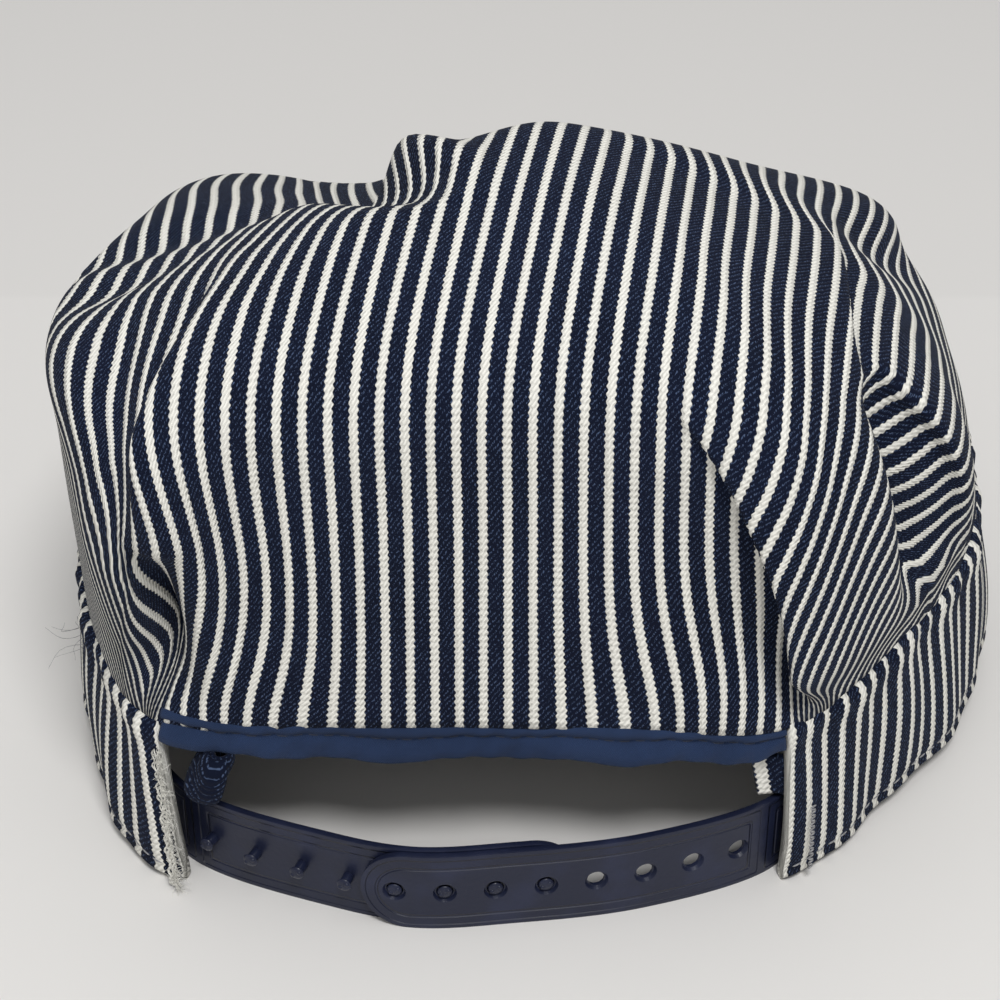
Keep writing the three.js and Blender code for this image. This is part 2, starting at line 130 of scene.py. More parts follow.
# The strap's outer face seen from above, from inside the band's left end to inside its right end
STRAP_PATH = (
    (-76.6, -92), (-68, -102.3), (-46, -114.4), (-26, -120.2),
    (-6, -119), (18, -115), (42.5, -104.9), (51, -94.5),
)
SNAPS = 8
SNAPS_CLOSED = 4
TIP_MARGIN = 6.5
STRAP_GAP = 0.35
TUCK_START = 12
TUCK_MARGIN = 4
OVERLAP_SHIFT = 1
# How far each strip runs on under the band beyond its moulded rim
HOLES_HIDDEN = 15
PEGS_HIDDEN = 14.5
HOLE_RADIUS = 1.65
PEG_RADIUS = 1.15
PEG_HEAD_RADIUS = 1.45
FREE_PEG_LENGTH = 2.7

# Where rows of stitches sink in: above the band's lower edge, and below the binding's upper edge
BAND_STITCHES = 3.2
BINDING_STITCHES = 2.7
FRAY_SEED = 7

# From one ridge, twist or thread of a weave to the next
TWILL_PITCH = 0.8
ROPE_PITCH = 1.35
TAPE_PITCH = 0.45

# The stage is in metres, watts and degrees. A lamp has a place, a width and a power.
LAMPS = {
    "key": ((0.12, -0.7, 1.14), 0.34, 8.9),
    "fill": ((-0.2, -0.9, 0.6), 0.5, 0.35),
    "overhead": ((-0.2, 0.2, 1.3), 1.3, 2.6),
}
LAMP_AIM = (0, 0, 0.05)
WORLD_LIGHT = 0.4
CAMERA_PLACE = (-0.009, -0.4448, 0.3246)
CAMERA_PITCH = 34.9
CAMERA_LENS = 86.4
FLOOR_HALF = 4
# The floor is a little darker from here backwards.
FLOOR_LINE = (0.114, 0.118)


def metres(name, description, default):
    """A length that a user may change."""
    return FloatProperty(name=name, description=description, default=default, unit="LENGTH")


def paint(name, description, default):
    """A colour that a user may change."""
    return FloatVectorProperty(name=name, description=description, default=default, subtype="COLOR")


class CapSizes(bpy.types.PropertyGroup):
    """Sizes of the cap's pieces."""

    band_height: metres("Band height", "From lower edge to crown's seam", 0.037)
    band_thick: metres("Band thickness", "Two layers of cloth", 0.0026)
    crown_thick: metres("Crown thickness", "One layer of heavy cloth", 0.0016)
    crown_steps: IntProperty(
        name="Crown fineness", description="Faces along a side of the sheet", default=200, min=40, max=220
    )
    binding_height: metres("Binding height", "Width of the folded tape", 0.0076)
    binding_thick: metres("Binding thickness", "Folded tape over the edge", 0.0026)
    peak_length: metres("Peak length", "Forwards from the band's middle", 0.063)
    peak_thick: metres("Peak thickness", "Board covered in cloth", 0.0028)
    strap_height: metres("Strap height", "Width of the strap on edge", 0.018)
    strap_thick: metres("Strap thickness", "Moulded plastic strip", 0.0013)
    snap_pitch: metres("Snap pitch", "One eighth of a hat size", 0.009525)
    stripe_pitch: metres("Stripe pitch", "From one stripe to the next", 0.0044)
    stripe_width: metres("Stripe width", "Width of a cream stripe", 0.0015)


class CapColours(bpy.types.PropertyGroup):
    """Colours of the cap and of what it lies on."""

    navy: paint("Navy", "Ground of the cloth", (0.0052, 0.0086, 0.0245))
    fleck: paint("Fleck", "Paler yarn in the navy", (0.075, 0.11, 0.2))
    cream: paint("Cream", "Raised stripes", (0.9, 0.885, 0.82))
    binding: paint("Binding", "Tape on the opening", (0.019, 0.037, 0.093))
    strap: paint("Strap", "Moulded strap", (0.011, 0.0145, 0.036))
    thread: paint("Thread", "Stitches of the band", (0.34, 0.34, 0.35))
    floor: paint("Floor", "What the cap lies on", (0.79, 0.775, 0.755))


def millimetres(name):
    return getattr(bpy.context.scene.cap_sizes, name) / MM


def colour(name):
    return (*getattr(bpy.context.scene.cap_colours, name), 1.0)


# Shape of the cap


def smooth(p0, p1, p2, p3, w):
    """Smooth curve from p1 to p2 that heads past p0 and p3."""
    even = 2 * p0 - 5 * p1 + 4 * p2 - p3
    odd = 3 * p1 - p0 - 3 * p2 + p3
    return 0.5 * (2 * p1 + (p2 - p0) * w + even * w**2 + odd * w**3)


def smoothstep(x, low, high):
    t = np.clip((x - low) / (high - low), 0, 1)
    return t * t * (3 - 2 * t)


def unit(arrows):
    return arrows / np.linalg.norm(arrows, axis=-1)[..., None]


def on_line(at, lengths, points):
    """Points at distances along a line, from its points and their distances from its start."""
    return np.stack([np.interp(at, lengths, points[:, i]) for i in range(3)], -1)


def control_rings():
    """Control rings from the top down to the seam and the band's foot, one point a section in each."""
    s = dict(zip(SECTION_COLUMNS, np.array(list(SECTION_ROWS.values()), float).T))
    plan = np.stack([s["x"], s["y"]], 1)
    along = np.roll(plan, -1, 0) - np.roll(plan, 1, 0)
    out = unit(np.stack([along[:, 1], -along[:, 0]], 1))
    top = np.repeat(np.array(TOP, float)[None], len(plan), 0)
    shoulder = plan - out * s["inward"][:, None]
    mid = top[:, :2] * (1 - MID_SHARE) + shoulder * MID_SHARE
    raised = lambda flat, z: np.concatenate([flat, z[:, None]], 1)
    seam = raised(plan, s["low"] + millimetres("band_height"))
    overhang = raised(plan + out * s["out"][:, None], s["out_z"])
    foot = raised(plan + out * s["spread"][:, None], s["low"])
    return np.stack([top, raised(mid, s["mid_z"]), raised(shoulder, s["in_z"]), overhang, seam, foot])


def around(ring, place):
    """Points of a ring at places between sections, such as 2.5."""
    i = np.floor(place).astype(int)
    before, start, end, after = (ring[(i + step) % len(ring)] for step in (-1, 0, 1, 2))
    return smooth(before, start, end, after, (place - i)[..., None])


def plain_crown(a, b):
    """The crown without folds over the square sheet."""
    rings = control_rings()
    reach = np.maximum(np.maximum(np.abs(a), np.abs(b)), 1e-9)
    sides = [b <= -np.abs(a), a >= np.abs(b), b >= np.abs(a)]
    places = [2 * a / reach, 4 + 2 * b / reach, 8 - 2 * a / reach]
    place = np.select(sides, places, 12 - 2 * b / reach)
    points = [around(ring, place) for ring in rings[:5]]
    control = [2 * points[0] - points[1], *points, 2 * points[4] - points[3]]
    result = np.zeros((*a.shape, 3))
    for i in range(4):
        low, high = RING_PLACES[i], RING_PLACES[i + 1]
        here = (reach >= low) & ((reach < high) | (i == 3))
        w = np.clip((reach - low) / (high - low), 0, 1)[..., None]
        result = np.where(here[..., None], smooth(*control[i : i + 4], w), result)
    return result


def relaxed(grid, rounds):
    """A grid of points with its inner points eased between their neighbours."""
    grid = grid.copy()
    for _ in range(rounds):
        beside = grid[2:, 1:-1] + grid[:-2, 1:-1] + grid[1:-1, 2:] + grid[1:-1, :-2]
        grid[1:-1, 1:-1] = 0.5 * grid[1:-1, 1:-1] + 0.125 * beside
    return grid


def grid_normals(grid):
    across = np.gradient(grid, axis=1)
    forward = np.gradient(grid, axis=0)
    normal = np.cross(across, forward)
    return normal / (np.linalg.norm(normal, axis=-1)[..., None] + 1e-12)


def on_grid(grid, a, b):
    """Points of the grid at sheet coordinates."""
    n = grid.shape[0] - 1
    x, y = (np.clip((np.asarray(k) + 1) / 2 * n, 0, n - 1e-6) for k in (a, b))
    i, j = x.astype(int), y.astype(int)
    u, v = (x - i)[:, None], (y - j)[:, None]
    low = grid[j, i] * (1 - u) + grid[j, i + 1] * u
    high = grid[j + 1, i] * (1 - u) + grid[j + 1, i + 1] * u
    return low * (1 - v) + high * v


def fold_shift(row, a, b, plain, normal):
    """How a fold moves each point of the plain crown."""
    fold = dict(zip(FOLD_COLUMNS, row))
    s = np.linspace(0, 1, FOLD_PATH_STEPS + 1)
    start, middle, end = 2 * (s - 0.5) * (s - 1), 4 * s * (1 - s), 2 * s * (s - 0.5)
    path_a = fold["a0"] * start + fold["a1"] * middle + fold["a2"] * end
    path_b = fold["b0"] * start + fold["b1"] * middle + fold["b2"] * end
    path = on_grid(plain, path_a, path_b)
    distance = np.full(a.shape, np.inf)
    share = np.zeros(a.shape)
    side = np.ones(a.shape)
    heading = np.zeros(plain.shape)
    for k in range(FOLD_PATH_STEPS):
        step = path[k + 1] - path[k]
        t = np.clip(((plain - path[k]) @ step) / (step @ step), 0, 1)
        d = np.linalg.norm(plain - (path[k] + t[..., None] * step), axis=-1)
        nearer = d < distance
        turn = (path_a[k + 1] - path_a[k]) * (b - path_b[k]) - (path_b[k + 1] - path_b[k]) * (a - path_a[k])
        distance = np.where(nearer, d, distance)
        share = np.where(nearer, s[k] + t * (s[k + 1] - s[k]), share)
        side = np.where(nearer, np.sign(turn), side)
        heading = np.where(nearer[..., None], step / np.linalg.norm(step), heading)
    to_seam = max(abs(fold["a2"]), abs(fold["b2"])) > SEAM_REACH
    fade = np.sin(np.pi * share * (0.5 if to_seam else 1)) ** FOLD_TAPER
    if not fold["overhang"]:
        return normal * (fold["height"] * fade * np.exp(-((distance / fold["width"]) ** 2)))[..., None]
    share_high = np.where(side * fold["height"] > 0, HIGH_SIDE, LOW_SIDE)
    turn_over = np.tanh(side * distance / LAP_STEP) * np.exp(-distance / (fold["width"] * share_high)) * fade
    across = np.cross(normal, heading)
    slide = fold["overhang"] * share_high
    return turn_over[..., None] * (fold["height"] * normal - slide[..., None] * across)


def crown_points(a, b):
    """The crown with its folds, as a grid of points."""
    plain = relaxed(plain_crown(a, b), RELAX_ROUNDS)
    normal = grid_normals(plain)
    hold = smoothstep(1 - np.maximum(np.abs(a), np.abs(b)), 0, FOLD_FADE)[..., None]
    shift = sum(fold_shift(row, a, b, plain, normal) for row in FOLD_ROWS.values())
    return plain + shift * hold


def seam_at(place):
    """Crown's seam with its outward direction and the band's lower edge at places round the cap."""
    rings = control_rings()
    place = np.asarray(place, float)
    along = around(rings[4], place + 1e-3) - around(rings[4], place - 1e-3)
    along[..., 2] = 0
    along = unit(along)
    out = np.stack([along[..., 1], -along[..., 0], np.zeros(place.shape)], -1)
    slant = LEFT_SLANT * smoothstep(place, LEFT_END - 0.5, LEFT_END)
    return around(rings[4], place), out, around(rings[5], place) + along * slant[..., None]


def run_length(points):
    """Distance along a line of points from its start."""
    steps = np.linalg.norm(np.diff(points, axis=0), axis=1)
    return np.concatenate([[0], np.cumsum(steps)])


# Meshes and pieces


def mapped_grid(columns, rows, place, flat):
    """A bmesh grid put in place, with its cloth coordinates in millimetres on the map named cloth.

    place and flat take the grid's coordinates from 0 to 1, as arrays with a row for each of the grid's rows.
    """
    bm = bmesh.new()
    bmesh.ops.create_grid(bm, x_segments=columns, y_segments=rows, size=0.5)
    corners = np.array([v.co[:2] for v in bm.verts]) + 0.5
    u, v = corners.T.reshape(2, rows + 1, columns + 1)
    points = place(u, v)
    cloth = flat(u, v, points).reshape(-1, 2)
    layer = bm.loops.layers.uv.new("cloth")
    for vertex, point in zip(bm.verts, points.reshape(-1, 3)):
        vertex.co = point * MM
    for face in bm.faces:
        for loop in face.loops:
            loop[layer].uv = cloth[loop.vert.index]
    return bm


def close_tube(bm):
    """Joins a grid's first and last rows and closes its two ends."""
    layer = bm.loops.layers.uv.verify()
    bmesh.ops.remove_doubles(bm, verts=bm.verts, dist=1e-7)
    rim = [edge for edge in bm.edges if edge.is_boundary]
    for face in bmesh.ops.holes_fill(bm, edges=rim, sides=0)["faces"]:
        for loop in face.loops:
            beside = next(other for other in loop.vert.link_loops if other.face is not face)
            loop[layer].uv = beside[layer].uv
    bmesh.ops.recalc_face_normals(bm, faces=bm.faces)
    return bm


def add_object(name, data):
    made = bpy.data.objects.new(name, data)
    bpy.context.scene.collection.objects.link(made)
    return made


def add_mesh(name, bm):
    """Makes a bmesh an object, and frees it."""
    mesh = bpy.data.meshes.new(name)
    bm.to_mesh(mesh)
    bm.free()
    return add_object(name, mesh)


def add_piece(name, bm, material, *nodes, slot="striped_cloth"):
    """Makes a bmesh a smooth-shaded piece that rides on the cap and stands for CAD nodes."""
    piece = add_mesh(name, bm)
    piece.data.shade_smooth()
    piece.data.materials.append(material)
    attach(piece, "root")
    if nodes:
        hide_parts(*nodes)
    return piece


def add_wall(piece, thickness, offset):
    """Gives a sheet its thickness, inwards if the offset is -1 and to both sides if it is 0."""
    wall = piece.modifiers.new("Wall", "SOLIDIFY")
    wall.thickness = thickness
    wall.offset = offset


def round_edges(piece, width, segments, degrees):
    """Rounds the edges of a piece that bend by more than an angle."""
    edge = piece.modifiers.new("Rounded edge", "BEVEL")
    edge.width = width
    edge.segments = segments
    edge.limit_method = "ANGLE"
    edge.angle_limit = math.radians(degrees)


def sewn(bm, points, outs, stitch, gap, radius):
    """Adds a row of stitches to a bmesh along a line of points, lying on the side that outs point to."""
    lengths = run_length(points)
    for k in range(int(lengths[-1] / (stitch + gap))):
        at = [k * (stitch + gap) + gap / 2 + part * stitch for part in (0, 0.5, 1)]
        start, middle, end = on_line(at, lengths, points)
        out = Vector(on_line(at[1], lengths, outs)).normalized()
        along = Vector(end - start).normalized()
        side = along.cross(out).normalized()
        turn = Matrix((along, side, out)).transposed().to_4x4()
        size = Matrix.Diagonal((stitch / 2 * MM, radius * MM, radius * MM, 1))
        matrix = Matrix.Translation(Vector(middle) * MM) @ turn @ size
        bmesh.ops.create_uvsphere(bm, u_segments=8, v_segments=6, radius=1, matrix=matrix)


def tube(bm, points, radius):
    """Adds a thin round thread, thinner towards its end, to a bmesh along a line of points."""
    points = np.asarray(points, float)
    rings = []
    for i, point in enumerate(points):
        along = Vector(points[min(i + 1, len(points) - 1)] - points[max(i - 1, 0)]).normalized()
        turn = along.to_track_quat("Z", "Y").to_matrix().to_4x4()
        thin = radius * MM * (1 - 0.6 * i / len(points))
        matrix = Matrix.Translation(Vector(point) * MM) @ turn
        ring = bmesh.ops.create_circle(bm, segments=5, radius=thin, matrix=matrix)["verts"]
        rings.append({edge for vertex in ring for edge in vertex.link_edges})
    for before, after in zip(rings, rings[1:]):
        bmesh.ops.bridge_loops(bm, edges=[*before, *after])


def frayed(bm, start, out, along, count, reach, radius):
    """Adds loose threads to a bmesh that curl away from places along a line."""
    chance = np.random.default_rng(FRAY_SEED)
    for _ in range(count):
        root = start + along * chance.uniform(0, 1)
        lean = out * chance.uniform(0.3, 1) + chance.normal(0, 0.5, 3)
        curl, twist = chance.normal(0, 0.6, 3), chance.normal(0, 0.5, 3)
        s = np.linspace(0, 1, 7)[:, None]
        bend = lean * s + curl * s * s + twist * np.sin(4 * s) * 0.4
        path = root + reach * chance.uniform(0.4, 1) * bend
        path[:, 2] = np.maximum(path[:, 2], radius)
        tube(bm, path, radius)


# Materials


def node(tree, kind, inputs=None, **settings):
    """Adds a shader node. Its inputs are sockets to link or values to set, by name or number."""
    made = tree.nodes.new(kind)
    for name, value in settings.items():
        setattr(made, name, value)
    for key, value in (inputs or {}).items():
        if isinstance(value, bpy.types.NodeSocket):
            tree.links.new(value, made.inputs[key])
        else:
            made.inputs[key].default_value = value
    return made


def maths(tree, operation, *values):
    return node(tree, "ShaderNodeMath", dict(enumerate(values)), operation=operation).outputs[0]


def times(tree, *values):
    return maths(tree, "MULTIPLY", *values)


def blended(tree, share, first, second):
    mix = node(tree, "ShaderNodeMix", {0: share}, data_type="RGBA")
    for socket, value in ((mix.inputs[6], first), (mix.inputs[7], second)):
        if isinstance(value, bpy.types.NodeSocket):
            tree.links.new(value, socket)
        else:
            socket.default_value = value
    return mix.outputs[2]


def ranged(tree, value, low, high, to_low=0.0, to_high=1.0):
    inputs = {0: value, 1: low, 2: high, 3: to_low, 4: to_high}
    return node(tree, "ShaderNodeMapRange", inputs, interpolation_type="SMOOTHSTEP").outputs[0]


def noise(tree, place, scale, detail, **more):
    inputs = {"Vector": place, "Scale": scale, "Detail": detail, **more}
    return node(tree, "ShaderNodeTexNoise", inputs).outputs[0]


def split(tree, place):
    return node(tree, "ShaderNodeSeparateXYZ", {0: place}).outputs


def cloth_place(tree):
    """Where a point lies on the piece's own cloth, in millimetres."""
    return node(tree, "ShaderNodeUVMap", uv_map="cloth").outputs[0]


def cap_place(tree):
    """Where a point lies on the cap, in metres."""
    return node(tree, "ShaderNodeTexCoord").outputs["Object"]


def toned(shade, share):
    """A colour made darker or lighter."""
    return [c * share for c in shade[:3]] + [1.0]


def new_group(name, inputs, outputs):
    """An empty shader group with named inputs, each with its kind and default, and named number outputs."""
    tree = bpy.data.node_groups.new(name, "ShaderNodeTree")
    for label, kind, default in inputs:
        socket = tree.interface.new_socket(label, in_out="INPUT", socket_type="NodeSocket" + kind)
        if default is not None:
            socket.default_value = default
    for label in outputs:
        tree.interface.new_socket(label, in_out="OUTPUT", socket_type="NodeSocketFloat")
    return tree, node(tree, "NodeGroupInput").outputs, node(tree, "NodeGroupOutput").inputs


def twill_group():
    """Twill weave: diagonal ridges, and the paler yarn that shows between them."""
    inputs = (("Cloth", "Vector", None), ("Ridge pitch", "Float", TWILL_PITCH))
    tree, given, result = new_group("Twill weave", inputs, ("Ridge", "Fleck"))
    uneven = noise(tree, given["Cloth"], 0.6, 2.0)
    parts = split(tree, given["Cloth"])
    diagonal = maths(tree, "MULTIPLY_ADD", parts[0], 0.8, times(tree, parts[1], -0.6))
    wandering = maths(tree, "ADD", diagonal, times(tree, uneven, 0.5))
    phase = times(tree, maths(tree, "DIVIDE", wandering, given["Ridge pitch"]), 2 * math.pi)
    ridge = maths(tree, "MULTIPLY_ADD", maths(tree, "SINE", phase), 0.5, 0.5)
    stretch = {0: given["Cloth"], 2: (0, 0, 0.64), 3: (4.4, 1.8, 1)}
    specks = noise(tree, node(tree, "ShaderNodeMapping", stretch).outputs[0], 1.0, 2.0)
    fleck = times(tree, ranged(tree, specks, 0.5, 0.6), ranged(tree, ridge, 0.55, 0.1))
    tree.links.new(ridge, result["Ridge"])
    tree.links.new(fleck, result["Fleck"])
    return tree


def patch_group():
    """Slow uneven change of shade, as dye and wear leave it."""
    inputs = (("Place", "Vector", None), ("Scale", "Float", 30.0))
    tree, given, result = new_group("Uneven shade", inputs, ("Shade",))
    patches = noise(tree, given["Place"], given["Scale"], 4.0, Roughness=0.6)
    tree.links.new(ranged(tree, patches, 0.3, 0.7), result["Shade"])
    return tree


def placed(tree, name, maker, inputs):
    """Places a shared shader group in a material and returns its outputs."""
    return node(tree, "ShaderNodeGroup", inputs, node_tree=bpy.data.node_groups.get(name) or maker()).outputs


def new_material(name, roughness, **constants):
    material = bpy.data.materials.new(name)
    material.use_nodes = True
    shader = material.node_tree.nodes["Principled BSDF"]
    shader.inputs["Roughness"].default_value = roughness
    for key, value in constants.items():
        shader.inputs[key.replace("_", " ")].default_value = value
    return material, material.node_tree, shader


def bumped(tree, shader, height, depth):
    """Links a height from 0 to 1 that stands for a depth in millimetres."""
    inputs = {"Height": height, "Distance": depth * MM, "Strength": 1.0}
    tree.links.new(node(tree, "ShaderNodeBump", inputs).outputs[0], shader.inputs["Normal"])


def striped_cloth():
    """Navy twill with raised cream stripes along the cloth's second coordinate."""
    found = bpy.data.materials.get("Striped cloth")
    if found:
        return found
    material, tree, shader = new_material("Striped cloth", 0.95, Sheen_Weight=0.02, Specular_IOR_Level=0.12)
    cloth = cloth_place(tree)
    twill = placed(tree, "Twill weave", twill_group, {"Cloth": cloth, "Ridge pitch": TWILL_PITCH})
    parts = split(tree, cloth)
    pitch, width = millimetres("stripe_pitch"), millimetres("stripe_width")
    share = maths(tree, "FRACT", maths(tree, "ADD", maths(tree, "DIVIDE", parts[0], pitch), 0.5))
    aside = times(tree, maths(tree, "ABSOLUTE", maths(tree, "SUBTRACT", share, 0.5)), pitch)
    rope = maths(tree, "SINE", times(tree, parts[1], 2 * math.pi / ROPE_PITCH))
    ragged = noise(tree, cloth, 1.1, 1.0)
    scallop = maths(tree, "MULTIPLY_ADD", ragged, 0.3, times(tree, rope, 0.13))
    edge = maths(tree, "ADD", scallop, width / 2 - 0.15)
    inside = maths(tree, "SUBTRACT", edge, aside)
    stripe = ranged(tree, inside, -0.09, 0.09)
    uneven = placed(tree, "Uneven shade", patch_group, {"Place": cap_place(tree), "Scale": 35.0})
    ground = blended(tree, uneven["Shade"], toned(colour("navy"), 0.72), colour("navy"))
    ground = blended(tree, times(tree, twill["Fleck"], 0.85), ground, colour("fleck"))
    # Painted shade: the cream yarn is darker between the twill's ridges and full cream on them.
    lit = ranged(tree, twill["Ridge"], 0.0, 0.55)
    yarn = blended(tree, lit, toned(colour("cream"), 0.8), colour("cream"))
    tree.links.new(blended(tree, stripe, ground, yarn), shader.inputs["Base Color"])
    raised = times(tree, ranged(tree, inside, -0.1, width / 2), 0.75)
    bumped(tree, shader, maths(tree, "MULTIPLY_ADD", twill["Ridge"], 0.25, raised), 0.45)
    return material


def binding_cloth():
    """Plain woven blue tape."""
    material, tree, shader = new_material("Binding tape", 0.9, Sheen_Weight=0.05, Specular_IOR_Level=0.2)
    parts = split(tree, cloth_place(tree))[:2]
    waves = [maths(tree, "SINE", times(tree, part, 2 * math.pi / TAPE_PITCH)) for part in parts]
    weave = maths(tree, "MULTIPLY_ADD", times(tree, *waves), 0.5, 0.5)
    uneven = placed(tree, "Uneven shade", patch_group, {"Place": cap_place(tree), "Scale": 90.0})
    shade = blended(tree, uneven["Shade"], toned(colour("binding"), 0.7), colour("binding"))
    woven = blended(tree, times(tree, weave, 0.4), shade, toned(colour("binding"), 1.3))
    tree.links.new(woven, shader.inputs["Base Color"])
    bumped(tree, shader, weave, 0.12)
    return material


def strap_plastic():
    """Moulded dark plastic with a raised rim and a fine groove round the snaps."""
    material, tree, shader = new_material("Strap plastic", 0.34, Specular_IOR_Level=0.38)
    inset = split(tree, cloth_place(tree))[1]
    rim = ranged(tree, inset, 1.15, 0.8)
    line = ranged(tree, maths(tree, "ABSOLUTE", maths(tree, "SUBTRACT", inset, 3.1)), 0.1, 0.4)
    place = cap_place(tree)
    grain, marks = noise(tree, place, 900.0, 3.0), noise(tree, place, 120.0, 5.0)
    height = maths(tree, "ADD", times(tree, rim, 0.5), times(tree, line, 0.4))
    bumped(tree, shader, maths(tree, "MULTIPLY_ADD", grain, 0.05, height), 1.1)
    marked = blended(tree, ranged(tree, marks, 0.45, 0.75), colour("strap"), toned(colour("strap"), 1.5))
    tree.links.new(marked, shader.inputs["Base Color"])
    tree.links.new(ranged(tree, marks, 0.3, 0.7, 0.28, 0.42), shader.inputs["Roughness"])
    return material


def thread_material(name, shade):
    found = bpy.data.materials.get(name)
    if found:
        return found
    material, tree, shader = new_material(name, 0.75, Sheen_Weight=0.2)
    ply = noise(tree, cap_place(tree), 1800.0, 2.0)
    twisted = blended(tree, ranged(tree, ply, 0.35, 0.65), toned(shade, 0.6), shade)
    tree.links.new(twisted, shader.inputs["Base Color"])
    bumped(tree, shader, ply, 0.1)
    return material


def grey_thread():
    return thread_material("Grey thread", colour("thread"))


# Pieces


class CAP_OT_crown(bpy.types.Operator):
    """Make the crown: one large sheet of cloth, gathered to the band"""

    bl_idname = "cap.crown"
    bl_label = "Crown"

    def execute(self, context):
        steps = context.scene.cap_sizes.crown_steps

        def place(u, v):
            return crown_points(2 * u - 1, 2 * v - 1)

        def flat(u, v, points):
            across = np.linalg.norm(np.diff(points, axis=1), axis=-1)
            forward = np.linalg.norm(np.diff(points, axis=0), axis=-1)
            x = np.concatenate([np.zeros((steps + 1, 1)), np.cumsum(across, 1)], 1)
            for row in DRIFT_ROWS.values():
                drift = dict(zip(DRIFT_COLUMNS, row))
                away_a = (2 * u - 1 - drift["a"]) / drift["reach_a"]
                away_b = (2 * v - 1 - drift["b"]) / drift["reach_b"]
                pull = drift["shift"] + drift["turn"] * away_b
                x = x + pull * np.exp(-(away_a**2) - away_b**2)
            y = np.concatenate([np.zeros((1, steps + 1)), np.cumsum(forward, 0)], 0)
            return np.stack([x - x[:, steps // 2 : steps // 2 + 1], y], -1)

        bm = mapped_grid(steps, steps, place, flat)
        crown = add_piece("crown_cloth", bm, striped_cloth(), "crown")
        add_wall(crown, context.scene.cap_sizes.crown_thick, -1)
        return {"FINISHED"}


def stadium(v, height, thick):
    """Offset and height round a rolled strip of cloth, v from 0 to 1, up its outer side first."""
    radius = thick / 2
    straight = height - thick
    bend = math.pi * radius
    run = v * 2 * (straight + bend)
    up = np.clip(run, 0, straight)
    over = np.clip(run - straight, 0, bend) / radius
    down = np.clip(run - straight - bend, 0, straight)
    under = np.clip(run - 2 * straight - bend, 0, bend) / radius
    offset = radius * np.where(run < straight + bend, np.cos(over), -np.cos(under))
    z = radius + up - down + radius * (np.sin(over) - np.sin(under))
    return offset, z, run


def part_way_up(z, height, thick):
    """How far round a rolled strip its outer side reaches a height, as a part of the whole way."""
    return (z - thick / 2) / (2 * (height - thick) + math.pi * thick)


def rolled_map(start, end, height, thick):
    """The cloth's coordinates on a rolled strip: along the seam between two places, and round the strip."""

    def flat(u, v, points):
        point, _, _ = seam_at(start + (end - start) * u[0])
        return np.stack([np.broadcast_to(run_length(point), u.shape), stadium(v, height, thick)[2]], -1)

    return flat


class CAP_OT_band(bpy.types.Operator):
    """Make the head band with its stitches"""

    bl_idname = "cap.band"
    bl_label = "Head band"

    columns = 420
    rows = 44

    def execute(self, context):
        height, thick = millimetres("band_height") + 1.2, millimetres("band_thick")

        def section(u, v):
            point, out, foot = seam_at(RIGHT_END + (LEFT_END - RIGHT_END) * u)
            offset, z, _ = stadium(v, height, thick)
            outside = smoothstep(offset, -0.3, thick / 2)
            rolled = 0.9 * np.exp(-(((z - height + 3) / 2.6) ** 2)) * outside
            sunk = -0.5 * np.exp(-(((z - BAND_STITCHES) / 1.1) ** 2)) * outside
            wave = 0.5 * np.sin(61 * u + 0.11 * z) + 0.35 * np.sin(147 * u + 1.3)
            tucks = 0.35 * np.sin(410 * u) * smoothstep(z, height - 14, height) * outside
            swell = 0.9 * np.sin(np.pi * z / height)
            upright = foot + (point - foot) * (z / millimetres("band_height"))[..., None]
            place = upright + out * (offset - thick / 2 + rolled + sunk + wave + tucks + swell)[..., None]
            lift = 0.35 + 0.35 * np.sin(83 * u) + 0.2 * np.sin(211 * u)
            place[..., 2] += lift * smoothstep(foot[..., 2], 0, 3)
            return place

        flat = rolled_map(RIGHT_END, LEFT_END, height, thick)
        bm = close_tube(mapped_grid(self.columns, self.rows, section, flat))
        add_piece("band_cloth", bm, striped_cloth(), "head_band")
        u = np.linspace(0.004, 0.996, 400)
        line = section(u, np.full(400, part_way_up(BAND_STITCHES, height, thick)))
        outs = seam_at(RIGHT_END + (LEFT_END - RIGHT_END) * u)[1]
        bm = bmesh.new()
        sewn(bm, line, outs, 2.3, 0.8, 0.26)
        add_piece("band_stitches", bm, grey_thread())
        return {"FINISHED"}


